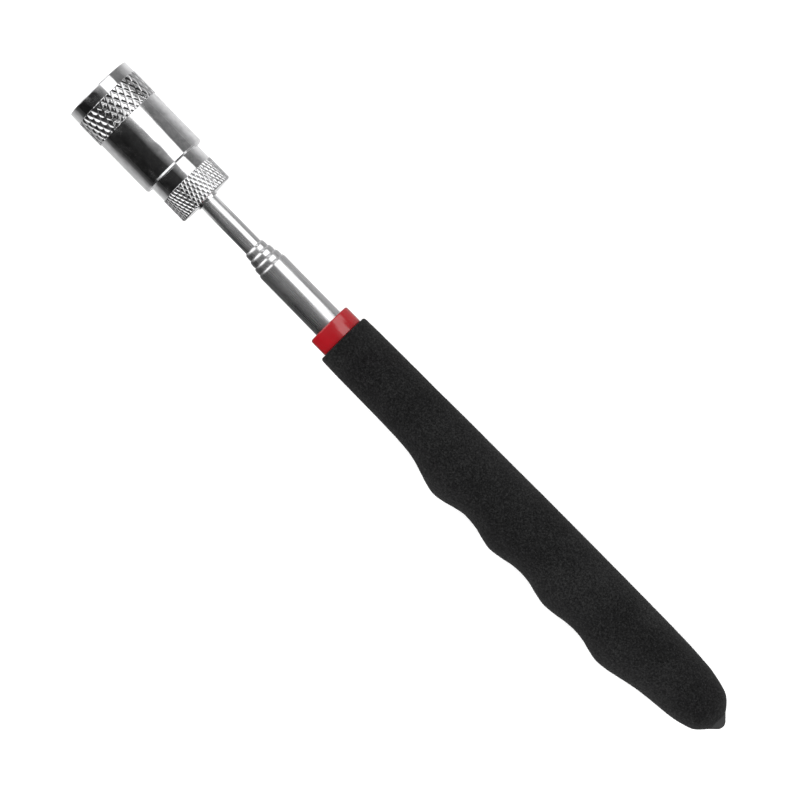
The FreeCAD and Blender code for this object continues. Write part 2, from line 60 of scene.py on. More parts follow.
class Nodes:
    """Short calls for building a node tree."""

    def __init__(self, tree):
        self.tree = tree
        tree.nodes.clear()

    def put(self, socket, value):
        if isinstance(value, bpy.types.NodeSocket):
            self.tree.links.new(value, socket)
        elif value is not None:
            socket.default_value = value

    def add(self, kind, inputs=(), **settings):
        node = self.tree.nodes.new(kind)
        for key, value in settings.items():
            setattr(node, key, value)
        for key, value in dict(inputs).items():
            self.put(node.inputs[key], value)
        return node

    def math(self, operation, a, b=None):
        node = self.add("ShaderNodeMath", operation=operation)
        self.put(node.inputs[0], a)
        self.put(node.inputs[1], b)
        return node.outputs[0]

    def span(self, value, low, high, to_low=0.0, to_high=1.0, smooth=False):
        """A value mapped from low and high to two others, and held between them."""
        node = self.add("ShaderNodeMapRange", interpolation_type="SMOOTHSTEP" if smooth else "LINEAR")
        for index, item in enumerate((value, low, high, to_low, to_high)):
            self.put(node.inputs[index], item)
        return node.outputs[0]

    def ramp(self, value, stops):
        """A colour ramp; each stop is a place and a grey value or a colour."""
        node = self.add("ShaderNodeValToRGB", {"Fac": value})
        elements = node.color_ramp.elements
        while len(elements) < len(stops):
            elements.new(0.5)
        for element, (place, colour) in zip(elements, stops):
            element.position = place
            element.color = (*(colour if isinstance(colour, tuple) else (colour,) * 3), 1)
        return node.outputs["Color"]

    def noise(self, place, scale, detail=2.0, roughness=0.5):
        inputs = {"Vector": place, "Scale": scale, "Detail": detail, "Roughness": roughness}
        return self.add("ShaderNodeTexNoise", inputs).outputs["Fac"]

    def mix(self, factor, a, b):
        """A colour between a and b."""
        node = self.add("ShaderNodeMix", data_type="RGBA")
        self.put(node.inputs["Factor"], factor)
        self.put(node.inputs[6], a)
        self.put(node.inputs[7], b)
        return node.outputs[2]

    def place(self, scale=(1, 1, 1)):
        """The point on the piece in metres, stretched by scale."""
        point = self.add("ShaderNodeTexCoord").outputs["Object"]
        return self.add("ShaderNodeMapping", {"Vector": point, "Scale": scale}).outputs[0]

    def bump(self, height, distance, strength=1.0, below=None):
        inputs = {"Height": height, "Distance": distance, "Strength": strength, "Normal": below}
        return self.add("ShaderNodeBump", inputs).outputs[0]


def surface(name, colour, roughness, **inputs):
    """A material, its node builder and its shader, for the caller to add detail to."""
    material = bpy.data.materials.new(name)
    material.use_nodes = True
    nodes = Nodes(material.node_tree)
    inputs = {"Base Color": (*colour, 1), "Roughness": roughness, **inputs}
    shader = nodes.add("ShaderNodeBsdfPrincipled", inputs)
    output = nodes.add("ShaderNodeOutputMaterial")
    nodes.put(output.inputs["Surface"], shader.outputs[0])
    return material, nodes, shader


# ---- Materials ----

# The barrel's rear chamfer, and how far from its middle its dullness starts and ends fading.
CHAMFER_STATION = 27.83
CHAMFER_REACH = (0.26, 0.3)
CHAMFER_DULLNESS = 0.1


def chrome_turned():
    """Bright plating on turned steel: faint waviness and smears, and a slightly duller rear chamfer."""
    material, nodes, shader = surface("chrome_turned", (0.86, 0.86, 0.87), 0.05, Metallic=1.0)
    point = nodes.place()
    smear = nodes.noise(nodes.place((0.6, 1, 1)), 190, 5, 0.66)
    rough = nodes.span(smear, 0.46, 0.66, 0.035, 0.22)
    station = nodes.add("ShaderNodeSeparateXYZ", {0: point}).outputs["X"]
    away = nodes.math("ABSOLUTE", nodes.math("SUBTRACT", station, FRONT_X - CHAMFER_STATION * MM))
    near, far = (reach * MM for reach in CHAMFER_REACH)
    rough = nodes.math("ADD", rough, nodes.span(away, near, far, CHAMFER_DULLNESS, 0.0))
    nodes.put(shader.inputs["Roughness"], rough)
    tarnish = nodes.noise(point, 420, 5, 0.65)
    tones = [(0.34, (0.66, 0.66, 0.67)), (0.6, (0.87, 0.87, 0.88))]
    nodes.put(shader.inputs["Base Color"], nodes.ramp(tarnish, tones))
    wave = nodes.noise(nodes.place((0.5, 1, 1)), 150, 1.5)
    waved = nodes.bump(wave, 0.00022)
    lathe = nodes.noise(nodes.place((26, 0.6, 0.6)), 600, 2)
    nodes.put(shader.inputs["Normal"], nodes.bump(lathe, 0.000002, 0.5, waved))
    return material


def chrome_tube():
    """Plated drawn tube: a softer gloss with faint lengthwise draw lines and a few worn places."""
    material, nodes, shader = surface("chrome_tube", (0.84, 0.84, 0.85), 0.25, Metallic=1.0)
    drawn = nodes.noise(nodes.place((0.03, 1, 1)), 2600, 3, 0.55)
    worn = nodes.noise(nodes.place((0.4, 1, 1)), 210, 3)
    lines = nodes.span(drawn, 0.35, 0.65, -0.035, 0.035)
    wear = nodes.span(worn, 0.35, 0.65, 0.22, 0.3)
    nodes.put(shader.inputs["Roughness"], nodes.math("ADD", wear, lines))
    marks = nodes.noise(nodes.place((0.3, 1, 1)), 420, 4, 0.62)
    tones = [(0.3, (0.78, 0.78, 0.79)), (0.6, (0.86, 0.86, 0.87))]
    nodes.put(shader.inputs["Base Color"], nodes.ramp(marks, tones))
    nodes.put(shader.inputs["Normal"], nodes.bump(drawn, 0.000004, 0.4))
    return material


def plated_nickel():
    """Nickel on a sintered magnet: soft grain and small pits."""
    material, nodes, shader = surface("nickel_plate", (0.74, 0.72, 0.69), 0.24, Metallic=1.0)
    grain = nodes.noise(nodes.place(), 1500, 4, 0.6)
    cloud = nodes.noise(nodes.place(), 260, 3)
    nodes.put(shader.inputs["Roughness"], nodes.span(cloud, 0.3, 0.7, 0.18, 0.34))
    tones = [(0.3, (0.66, 0.64, 0.61)), (0.7, (0.78, 0.76, 0.73))]
    nodes.put(shader.inputs["Base Color"], nodes.ramp(cloud, tones))
    nodes.put(shader.inputs["Normal"], nodes.bump(grain, 0.00001, 0.5))
    return material


def bare_metal(name, dark, light, grain_scale):
    """Stamped or drawn metal inside the tool: grain, cloudy tarnish and light wear."""
    material, nodes, shader = surface(name, light, 0.3, Metallic=1.0)
    grain = nodes.noise(nodes.place((0.2, 1, 1)), grain_scale, 4, 0.6)
    cloud = nodes.noise(nodes.place(), 500, 3)
    nodes.put(shader.inputs["Base Color"], nodes.ramp(cloud, [(0.32, dark), (0.66, light)]))
    nodes.put(shader.inputs["Roughness"], nodes.span(grain, 0.3, 0.7, 0.22, 0.42))
    nodes.put(shader.inputs["Normal"], nodes.bump(grain, 0.000008, 0.5))
    return material


def moulded(name, dark, light, roughness, spread=0.06, **inputs):
    """Moulded plastic or rubber: slight colour drift, a fine grain and uneven gloss."""
    material, nodes, shader = surface(name, light, roughness, **inputs)
    drift = nodes.noise(nodes.place(), 190, 3)
    grain = nodes.noise(nodes.place(), 2400, 3, 0.6)
    nodes.put(shader.inputs["Base Color"], nodes.ramp(drift, [(0.3, dark), (0.7, light)]))
    rough = nodes.span(grain, 0.3, 0.7, roughness - spread, roughness + spread)
    nodes.put(shader.inputs["Roughness"], rough)
    nodes.put(shader.inputs["Normal"], nodes.bump(grain, 0.00001, 0.5))
    return material


def foam():
    """Closed-cell rubber foam: mottled cells and fine pores, a little paler at a glancing view."""
    material, nodes, shader = surface("black_foam", (0.014, 0.014, 0.0145), 0.92)
    point = nodes.place()
    pores = nodes.add("ShaderNodeTexVoronoi", {"Vector": point, "Scale": 2300.0, "Randomness": 1.0})
    pits = nodes.span(pores.outputs["Distance"], 0.0, 0.75)
    skin = nodes.noise(point, 5200, 4, 0.65)
    cells = nodes.noise(point, 1900, 3, 0.75)
    drift = nodes.noise(point, 90, 3)
    fine = nodes.math("ADD", nodes.math("MULTIPLY", skin, 0.25), nodes.math("MULTIPLY", cells, 0.6))
    tone = nodes.math("ADD", fine, nodes.math("MULTIPLY", drift, 0.15))
    tones = [
        (0.39, (0.0006, 0.0006, 0.0007)),
        (0.5, (0.0056, 0.0056, 0.0058)),
        (0.61, (0.0185, 0.0185, 0.0185)),
    ]
    nodes.put(shader.inputs["Base Color"], nodes.ramp(tone, tones))
    nodes.put(shader.inputs["Roughness"], nodes.span(skin, 0.3, 0.7, 0.85, 1.0))
    nodes.put(shader.inputs["Normal"], nodes.bump(skin, 0.00006, 0.7, nodes.bump(pits, 0.00008, 0.7)))
    shader.inputs["Specular IOR Level"].default_value = 0.2
    shader.inputs["Sheen Weight"].default_value = 0.03
    shader.inputs["Sheen Roughness"].default_value = 0.5
    return material


def clear_resin():
    """The lamp's clear epoxy, with faint flow lines."""
    material, nodes, shader = surface("clear_lamp", (0.97, 0.98, 0.99), 0.03)
    shader.inputs["Transmission Weight"].default_value = 1.0
    shader.inputs["IOR"].default_value = 1.5
    ripple = nodes.noise(nodes.place((0.4, 1, 1)), 500, 2)
    nodes.put(shader.inputs["Roughness"], nodes.span(ripple, 0.3, 0.7, 0.015, 0.05))
    nodes.put(shader.inputs["Normal"], nodes.bump(ripple, 0.00001, 0.4))
    return material


CHROME_TURNED = chrome_turned()
CHROME_TUBE = chrome_tube()
NICKEL = plated_nickel()
STEEL = bare_metal("steel", (0.42, 0.42, 0.43), (0.6, 0.6, 0.61), 1800)
CELL_STEEL = bare_metal("cell_steel", (0.58, 0.58, 0.57), (0.72, 0.72, 0.71), 1500)
BRONZE = bare_metal("bronze", (0.42, 0.24, 0.1), (0.68, 0.43, 0.2), 1600)
RED_GLOSS = {"Specular IOR Level": 0.9}
RED = moulded("red_plastic", (0.28, 0.002, 0.006), (0.32, 0.004, 0.009), 0.15, 0.03, **RED_GLOSS)
GREY = moulded("grey_plastic", (0.012, 0.012, 0.0125), (0.022, 0.022, 0.0225), 0.55)
WHITE = moulded("white_plastic", (0.66, 0.65, 0.6), (0.78, 0.77, 0.73), 0.45)
BOARD = moulded("board", (0.015, 0.12, 0.045), (0.03, 0.2, 0.08), 0.4)
SEAL = moulded("seal_rubber", (0.009, 0.009, 0.009), (0.018, 0.018, 0.018), 0.6)
PHOSPHOR = moulded("phosphor", (0.72, 0.62, 0.08), (0.85, 0.76, 0.16), 0.7)
FOAM = foam()
RESIN = clear_resin()

KEPT_NODES = {
    STEEL: ("pole_washer", "shaft_washer", "contact_spring", "led_leads"),
    CELL_STEEL: ("button_cell_1", "button_cell_2", "button_cell_3"),
    BRONZE: ("contact_stud", *(f"friction_sleeve_{number}" for number in (1, 2, 3, 4))),
    WHITE: ("led_holder", "battery_liner"),
    BOARD: ("contact_board",),
    SEAL: ("o_ring",),
}
for material, names in KEPT_NODES.items():
    for name in names:
        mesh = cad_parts[name].data
        mesh.materials.clear()
        mesh.materials.append(material)


# ---- Turned surfaces ----

# A knurl groove's half width in pitches, how steeply it falls, and the share of its depth that crowns
# the pads.
GROOVE_HALF_WIDTH = 0.29
GROOVE_FALL = 1.3
PAD_CROWN = 0.14

# A thread's rows to a turn, how steep its flanks are, and how far its crest widens and its start stands.
THREAD_ROWS_PER_TURN = 8
FLANK_SLOPE, CREST_WIDENING, START_HEIGHT = 1.3, 0.15, 0.35

# Points round one turn of the smooth pieces.
RING_COLUMNS, TUBE_COLUMNS, NOSE_COLUMNS, CUP_COLUMNS, DIE_COLUMNS = 160, 128, 96, 48, 32


def fillet(corners, steps=6):
    """Points round an outline; each corner is a station, a radius and, if it is rounded, by how much."""
    points = []
    count = len(corners)
    for index, corner in enumerate(corners):
        here = np.array(corner[:2], float)
        amount = corner[2] if len(corner) > 2 else 0
        if not amount:
            points.append(tuple(here))
            continue
        back = np.array(corners[index - 1][:2], float) - here
        ahead = np.array(corners[(index + 1) % count][:2], float) - here
        back /= np.linalg.norm(back)
        ahead /= np.linalg.norm(ahead)
        half = math.acos(float(np.clip(back @ ahead, -1, 1))) / 2
        centre = here + (back + ahead) / np.linalg.norm(back + ahead) * amount / math.sin(half)
        start = here + back * amount / math.tan(half)
        end = here + ahead * amount / math.tan(half)
        first, last = start - centre, end - centre
        sweep = math.acos(float(np.clip(first @ last / amount**2, -1, 1)))
        for step in range(steps + 1):
            share = step / steps
            weight_a = math.sin((1 - share) * sweep) / math.sin(sweep)
            weight_b = math.sin(share * sweep) / math.sin(sweep)
            points.append(tuple(centre + first * weight_a + last * weight_b))
    return points


def plain_rows(points):
    """Rows without a knurl or a thread, from (station, radius)."""
    return [(station, radius, None) for station, radius in points]


def knurl_rows(start, end, crest, depth, grooves, diamond, fine):
    """Rows of a diamond knurl, with fine steps to a groove pitch.

    Each cell is split in four to follow both ways of grooves. diamond is about how long one pad is along the
    axis. A groove is steepest at its bottom, and the pads are slightly crowned."""
    row_count = round((end - start) / (diamond / fine))
    rows = []

    def cut(place):
        away = abs(place - np.round(place))
        groove = np.clip(1 - away / GROOVE_HALF_WIDTH, 0, 1) ** GROOVE_FALL
        return (1 - PAD_CROWN) * groove + PAD_CROWN * (1 - 2 * away) ** 2

    def height(column, row):
        return crest - depth * np.maximum(cut((column + row) / fine), cut((column - row) / fine))

    columns = np.arange(grooves * fine)
    for row in range(row_count + 1):
        station = start + (end - start) * row / row_count
        between = height(columns + 0.5, row + 0.5) if row < row_count else None
        rows.append((station, height(columns, row), between))
    return rows


def thread_rows(start, end, crest, depth, lead, columns):
    """Rows of a right-hand external thread with flat crests and roots, which fades out at both ends."""
    angle = np.arange(columns) / columns
    row_count = round((end - start) / lead * THREAD_ROWS_PER_TURN)
    rows = []
    for row in range(row_count + 1):
        station = start + (end - start) * row / row_count
        phase = (station / lead + angle) % 1
        flank = np.clip(abs(phase - 0.5) * 2 * FLANK_SLOPE - CREST_WIDENING, 0, 1)
        fade = min(1.0, (station - start) / lead + START_HEIGHT, (end - station) / lead)
        rows.append((station, crest - depth * flank * fade, None))
    return rows


def turned_mesh(name, rows, columns, closed=True):
    """A mesh turned about the shaft's centre line from rows of (station, radius, radius at cell centres)."""
    angle = np.arange(columns) * TURN / columns
    middle = angle + TURN / columns / 2
    vertices, faces, ring_starts = [], [], []

    def put_ring(station, radius, at):
        radius = np.broadcast_to(radius, at.shape)
        start = len(vertices)
        x = FRONT_X - station * MM
        for r, t in zip(radius, at):
            vertices.append((x, AXIS_Y + r * MM * math.cos(t), AXIS_Z + r * MM * math.sin(t)))
        return start

    for station, radius, _ in rows:
        if np.isscalar(radius) and radius == 0:
            ring_starts.append((len(vertices), True))
            vertices.append((FRONT_X - station * MM, AXIS_Y, AXIS_Z))
        else:
            ring_starts.append((put_ring(station, radius, angle), False))
    last_pair = len(rows) if closed else len(rows) - 1
    for index in range(last_pair):
        (a, a_point), (b, b_point) = ring_starts[index], ring_starts[(index + 1) % len(rows)]
        between = rows[index][2]
        if between is not None:
            station = (rows[index][0] + rows[index + 1][0]) / 2
            centre = put_ring(station, between, middle)
        for c in range(columns):
            d = (c + 1) % columns
            if a_point and b_point:
                continue
            if a_point:
                faces.append((a, b + d, b + c))
            elif b_point:
                faces.append((a + c, a + d, b))
            elif between is None:
                faces.append((a + c, a + d, b + d, b + c))
            else:
                ring = (a + c, a + d, b + d, b + c)
                faces += [(ring[k], ring[(k + 1) % 4], centre + c) for k in range(4)]
    return mesh_from(name, vertices, faces)


def mesh_from(name, vertices, faces):
    """A mesh with its faces turned outwards."""
    points = np.array(vertices)
    volume = 0.0
    for face in faces:
        a, b, c = points[face[0]], points[face[1]], points[face[2]]
        volume += a @ np.cross(b, c)
        if len(face) == 4:
            volume += a @ np.cross(c, points[face[3]])
    if volume < 0:
        faces = [face[::-1] for face in faces]
    mesh = bpy.data.meshes.new(name)
    mesh.from_pydata(vertices, [], faces)
    mesh.validate()
    return mesh


def finish_piece(name, mesh, body, nodes, material, sharp=28):
    """Shades a mesh and puts it in the scene as a piece on a body, in place of CAD nodes."""
    mesh.shade_smooth()
    mesh.set_sharp_from_angle(angle=math.radians(sharp))
    mesh.materials.append(material)
    piece = bpy.data.objects.new(name, mesh)
    bpy.context.scene.collection.objects.link(piece)
    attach(piece, body)
    if nodes:
        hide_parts(*nodes)
    return piece


def turned_piece(name, rows, columns, body, nodes, material, closed=True, sharp=28):
    """A piece turned about the shaft's centre line."""
    finish_piece(name, turned_mesh(name, rows, columns, closed), body, nodes, material, sharp)


# ---- Head ----

# Grooves round each knurl, and steps to a groove pitch.
COARSE_GROOVES, COARSE_FINE = 32, 14
FINE_GROOVES, FINE_FINE = 46, 10

barrel_rows = (
    plain_rows(fillet([(6.3, 8.17), (0.0, 8.17, 0.12), (0.0, 9.68, 0.3), (3.3, 9.68), (3.35, 9.68)], 5))
    + knurl_rows(3.5, 11.05, crest=9.8, depth=0.3, grooves=COARSE_GROOVES, diamond=3.5, fine=COARSE_FINE)
    + plain_rows(
        fillet(
            [
                (11.2, 9.5),
                (11.25, 9.5),
                (19.5, 9.5),
                (27.5, 9.5),
                (27.55, 9.5),
                (28.05, 9.22),
                (28.1, 9.14),
                (28.1, 7.8),
                (21.5, 7.8),
                (21.5, 7.4),
                (6.3, 7.4),
            ]
        )
    )
)
barrel_columns = COARSE_GROOVES * COARSE_FINE
turned_piece(
    "barrel_shell",
    barrel_rows,
    barrel_columns,
    "head",
    ["head_barrel"],
    CHROME_TURNED,
    sharp=22,
)

cap_columns = FINE_GROOVES * FINE_FINE
cap_rows = (
    thread_rows(22.9, 26.8, crest=7.75, depth=0.36, lead=0.75, columns=cap_columns)
    + plain_rows([(26.9, 7.74), (26.91, 6.85), (27.79, 6.85), (27.8, 7.74)])
    + plain_rows([(28.3, 7.74), (28.3, 7.9), (28.36, 7.95), (28.4, 7.95), (32.45, 7.95), (32.5, 7.95)])
    + knurl_rows(32.65, 39.6, crest=8.18, depth=0.17, grooves=FINE_GROOVES, diamond=2.5, fine=FINE_FINE)
    + plain_rows(
        fillet(
            [
                (39.9, 7.8),
                (39.9, 3.23),
                (40.46, 3.13),
                (40.5, 3.08),
                (40.5, 2.57),
                (36.5, 2.57),
                (36.5, 5.4),
                (29.47, 5.4),
                (29.47, 6.6),
                (22.7, 6.6),
                (22.7, 7.35),
            ],
            4,
        )
    )
)
turned_piece(
    "tail_cap_shell",
    cap_rows,
    cap_columns,
    "section_1",
    ["tail_cap"],
    CHROME_TURNED,
    sharp=22,
)

magnet_outline = [(0.3, 3.1, 0.25), (0.3, 8.15, 0.4), (5.3, 8.15, 0.3), (5.3, 3.1, 0.2)]
magnet_rows = plain_rows(fillet(magnet_outline))
turned_piece("magnet_ring", magnet_rows, RING_COLUMNS, "head", ["ring_magnet"], NICKEL)


# ---- Lamp ----


def dome(tip, radius, steps=18):
    """Points of a round nose from its tip to its full radius."""
    quarter = [math.pi / 2 * step / steps for step in range(steps + 1)]
    return [(tip + radius * (1 - math.cos(t)), radius * math.sin(t)) for t in quarter]


lens_rows = plain_rows(dome(1.2, 2.5))
lens_rows += plain_rows([(8.8, 2.5), (8.85, 2.85), (8.9, 2.9), (9.75, 2.9), (9.8, 2.85), (9.8, 0)])
turned_piece("lamp_lens", lens_rows, NOSE_COLUMNS, "head", ["led"], RESIN, closed=False)
cup_rows = plain_rows([(6.2, 0), (6.2, 0.42), (5.75, 0.72), (5.75, 0.85), (6.9, 0.85), (6.9, 0)])
turned_piece("lamp_cup", cup_rows, CUP_COLUMNS, "head", [], STEEL, closed=False)
die_rows = plain_rows([(5.95, 0), (5.98, 0.4), (6.19, 0.44), (6.19, 0)])
turned_piece("lamp_die", die_rows, DIE_COLUMNS, "head", [], PHOSPHOR, closed=False)


# ---- Telescoping shaft ----

SHAFT_RADIUS, SHAFT_STEP, TUBE_WALL = 2.55, 0.425, 0.22
# Where the mouth of section 2 is, how far the next ones lie behind it, and the gap between them.
MOUTH_2, MOUTH_PITCH, MOUTH_GAP = 56.9, 2.1, 0.05
# Where each friction sleeve starts, and each section's tail ends.
SLEEVES, SLEEVE_GAP = {1: 193.55, 2: 203.65, 3: 209.75, 4: 211.85}, 0.05
TUBE_ENDS = {1: 199.1, 2: 209.2, 3: 215.3, 4: 217.4, 5: 221.8}
BODY_OF_TUBE = {1: "section_1", 2: "section_2", 3: "section_3", 4: "section_4", 5: "handle"}
# A mouth's rolled nose and its steps, its lip and the lip's clearance, and how far its bead stands out.
NOSE_LENGTH, NOSE_STEPS, LIP_LENGTH, LIP_CLEARANCE = 1.05, 12, 1.2, 0.05
BEAD, BEAD_OF_TUBE_5 = 0.1, 0.02
RIDGE_HEIGHT, FLARE_CLEARANCE = 0.1, 0.03


def tube_rows(number):
    """Outline of one section: rolled mouth, ridge ahead of its sleeve, flared tail and bore.

    Section 1 has a flange in place of a mouth, and section 5 has no sleeve."""
    outer = SHAFT_RADIUS + SHAFT_STEP * (number - 1)
    bore = outer - TUBE_WALL
    end = TUBE_ENDS[number]
    if number == 1:
        points = [(35.5, bore), (35.5, 3.1), (35.9, 3.1), (35.9, outer)]
        inside = []
    else:
        start = MOUTH_2 + MOUTH_PITCH * (number - 2)
        lip = outer - SHAFT_STEP + LIP_CLEARANCE
        bead = BEAD_OF_TUBE_5 if number == 5 else BEAD
        rise = outer + bead - lip
        quarter = [math.pi / 2 * step / NOSE_STEPS for step in range(NOSE_STEPS + 1)]
        points = [(start + NOSE_LENGTH * (1 - math.cos(t)), lip + rise * math.sin(t)) for t in quarter]
        rear = start + MOUTH_PITCH - MOUTH_GAP
        points += [(rear - 0.35, outer + bead), (rear - 0.15, outer + bead * 0.8), (rear, outer)]
        inside = [(start + LIP_LENGTH, bore), (start + LIP_LENGTH, lip), (start + 0.02, lip)]
    points.append((points[-1][0] + 0.1, outer))
    points.append(((points[-1][0] + end) / 2, outer))
    if number in SLEEVES:
        ridge_end = SLEEVES[number] - SLEEVE_GAP
        flare = outer + SHAFT_STEP - TUBE_WALL - FLARE_CLEARANCE
        points += fillet(
            [
                (ridge_end - 0.45, outer),
                (ridge_end - 0.35, outer),
                (ridge_end - 0.35, outer + RIDGE_HEIGHT, 0.04),
                (ridge_end, outer + RIDGE_HEIGHT, 0.04),
                (ridge_end, outer),
                (ridge_end + 0.1, outer),
                (end - 1.2, outer),
                (end - 1.1, outer),
                (end - 1.0, flare),
                (end, flare),
                (end, bore),
            ],
            3,
        )
    else:
        points += [(end, outer), (end, bore)]
    return plain_rows(points + inside)


for number, body in BODY_OF_TUBE.items():
    name, rows, node = f"shaft_tube_{number}", tube_rows(number), f"tube_{number}"
    turned_piece(name, rows, TUBE_COLUMNS, body, [node], CHROME_TUBE, sharp=40)


# ---- Collar, end plug and grip ----

collar_outline = [
    (84.2, 4.27, 0.1),
    (84.2, 6.3, 0.55),
    (89.2, 6.3, 0.1),
    (89.45, 6.1),
    (89.45, 5.3),
    (107.4, 5.3),
    (107.4, 4.27),
]
collar_rows = plain_rows(fillet(collar_outline))
turned_piece("collar_shell", collar_rows, RING_COLUMNS, "handle", ["red_collar"], RED)

# The plug's tip is a cone that runs at 45 degrees into the end of a ball.
TIP_CENTRE, TIP_RADIUS, TIP_STEPS = 226.15, 2.05, 12
tip_turns = [math.radians(45 + 45 * step / TIP_STEPS) for step in range(TIP_STEPS)]
plug_outline = [
    (219.3, 0),
    (219.3, 4.0),
    (221.8, 4.0),
    (221.8, 4.2),
    (222.8, 4.2),
    (222.85, 2.7),
    (225.95, 2.7),
    (226.0, 2.95),
    (226.12, 2.93),
    *((TIP_CENTRE + TIP_RADIUS * math.sin(t), TIP_RADIUS * math.cos(t)) for t in tip_turns),
    (228.2, 0),
]
plug_rows = plain_rows(plug_outline)
turned_piece(
    "plug_nose",
    plug_rows,
    NOSE_COLUMNS,
    "handle",
    ["end_plug"],
    GREY,
    closed=False,
)

# Station, reach on the palm side, reach on the finger side, half the height.
GRIP_OUTLINE = [
    (89.4, 7.25, 7.35, 7.2),
    (89.75, 7.6, 7.7, 7.55),
    (90.6, 7.7, 7.78, 7.65),
    (98.0, 7.87, 7.87, 7.8),
    (107.0, 8.0, 7.88, 7.9),
    (116.0, 8.08, 8.0, 8.0),
    (119.0, 8.14, 8.12, 8.05),
    (122.0, 8.2, 8.38, 8.15),
    (125.0, 8.25, 8.98, 8.35),
    (128.0, 8.3, 9.9, 8.6),
    (131.0, 8.33, 10.8, 8.85),
    (133.9, 8.35, 11.3, 8.98),
    (137.0, 8.38, 10.83, 8.9),
    (140.0, 8.4, 10.0, 8.78),
    (143.7, 8.45, 9.3, 8.7),
    (147.5, 8.5, 9.58, 8.85),
    (150.5, 8.54, 10.3, 9.1),
    (153.9, 8.6, 10.88, 9.28),
    (158.0, 8.62, 10.3, 9.15),
    (161.0, 8.64, 9.65, 9.0),
    (163.9, 8.66, 9.42, 8.95),
    (167.0, 8.68, 9.66, 9.08),
    (170.0, 8.7, 10.36, 9.35),
    (174.0, 8.72, 11.0, 9.58),
    (178.0, 8.73, 10.58, 9.45),
    (181.0, 8.74, 10.08, 9.3),
    (184.0, 8.75, 9.88, 9.25),
    (187.0, 8.75, 10.12, 9.38),
    (190.0, 8.75, 10.85, 9.62),
    (193.6, 8.75, 11.44, 9.79),
    (197.0, 8.75, 11.06, 9.7),
    (200.0, 8.74, 10.38, 9.45),
    (203.0, 8.7, 9.7, 9.15),
    (206.0, 8.66, 9.1, 8.85),
    (209.0, 8.55, 8.68, 8.6),
    (212.0, 8.4, 8.35, 8.35),
    (215.0, 8.2, 8.05, 8.05),
    (218.0, 7.7, 7.6, 7.6),
    (221.0, 7.0, 6.8, 6.85),
    (222.7, 6.35, 6.2, 6.2),
    (224.1, 5.3, 5.2, 5.2),
    (225.2, 4.1, 4.0, 4.0),
    (226.0, 3.05, 3.05, 3.0),
]
GRIP_BORE = [
    (226.0, 2.72),
    (222.82, 2.72),
    (222.82, 4.27),
    (107.42, 4.27),
    (107.42, 5.32),
    (89.6, 5.32),
    (89.4, 5.5),
]
GRIP_COLUMNS, GRIP_ROWS = 150, 430
SKIN_DEPTH = 0.06
# How often the unevenness of the skin repeats, per millimetre, and its share.
SKIN_WAVES = [(0.55, 0.5), (1.9, 0.3), (0.12, 0.2)]


def smooth_curve(stations, values, at):
    """A curve through the values that never overshoots them."""
    gaps = np.diff(stations)
    rises = np.diff(values) / gaps
    slopes = np.zeros(len(values))
    for index in range(1, len(values) - 1):
        before, after = rises[index - 1], rises[index]
        if before * after > 0:
            wide, narrow = 2 * gaps[index] + gaps[index - 1], gaps[index] + 2 * gaps[index - 1]
            slopes[index] = (wide + narrow) / (wide / before + narrow / after)
    slopes[0], slopes[-1] = rises[0], rises[-1]
    which = np.clip(np.searchsorted(stations, at) - 1, 0, len(gaps) - 1)
    share = (at - stations[which]) / gaps[which]
    low, high = values[which], values[which + 1]
    return (
        low * (1 + 2 * share) * (1 - share) ** 2
        + slopes[which] * gaps[which] * share * (1 - share) ** 2
        + high * share**2 * (3 - 2 * share)
        + slopes[which + 1] * gaps[which] * share**2 * (share - 1)
    )


def grip_mesh():
    """The foam grip: elliptical rings along its outline with a slightly uneven skin, and a stepped bore."""
    table = np.array(GRIP_OUTLINE)
    stations = np.linspace(table[0, 0], table[-1, 0], GRIP_ROWS)
    palm, finger, half = (smooth_curve(table[:, 0], table[:, k], stations) for k in (1, 2, 3))
    angle = np.arange(GRIP_COLUMNS) * TURN / GRIP_COLUMNS
    vertices = []
    for row, station in enumerate(stations):
        reach = (palm[row] + finger[row]) / 2
        offset = (finger[row] - palm[row]) / 2
        for t in angle:
            across, up = math.cos(t), math.sin(t)
            place = Vector((station, across * reach, up * half[row]))
            uneven = sum(noise.noise(place * often) * share for often, share in SKIN_WAVES)
            sink = SKIN_DEPTH * (0.5 - 0.5 * uneven) * MM
            y = AXIS_Y + (offset + across * reach) * MM - across * sink
            z = AXIS_Z + up * half[row] * MM - up * sink
            vertices.append((FRONT_X - station * MM, y, z))
    for station, radius in GRIP_BORE:
        for t in angle:
            x = FRONT_X - station * MM
            vertices.append((x, AXIS_Y + radius * MM * math.cos(t), AXIS_Z + radius * MM * math.sin(t)))
    rings = GRIP_ROWS + len(GRIP_BORE)
    faces = []
    for row in range(rings):
        a, b = row * GRIP_COLUMNS, (row + 1) % rings * GRIP_COLUMNS
        for c in range(GRIP_COLUMNS):
            d = (c + 1) % GRIP_COLUMNS
            faces.append((a + c, a + d, b + d, b + c))
    return mesh_from("foam_skin", vertices, faces)


grip = finish_piece("foam_skin", grip_mesh(), "handle", ["foam_grip"], FOAM, 50)


# ---- Floor, light and camera ----

# The floor's side, how far from the tool its painted shade reaches, and its gap below the tool, in metres.
FLOOR_SIDE = 12.0
PAINTED_SHADE_REACH = 0.16
FLOOR_GAP = 0.0002
# Its own glow, which gloss doesn't see.
FLOOR_GLOW = 0.3
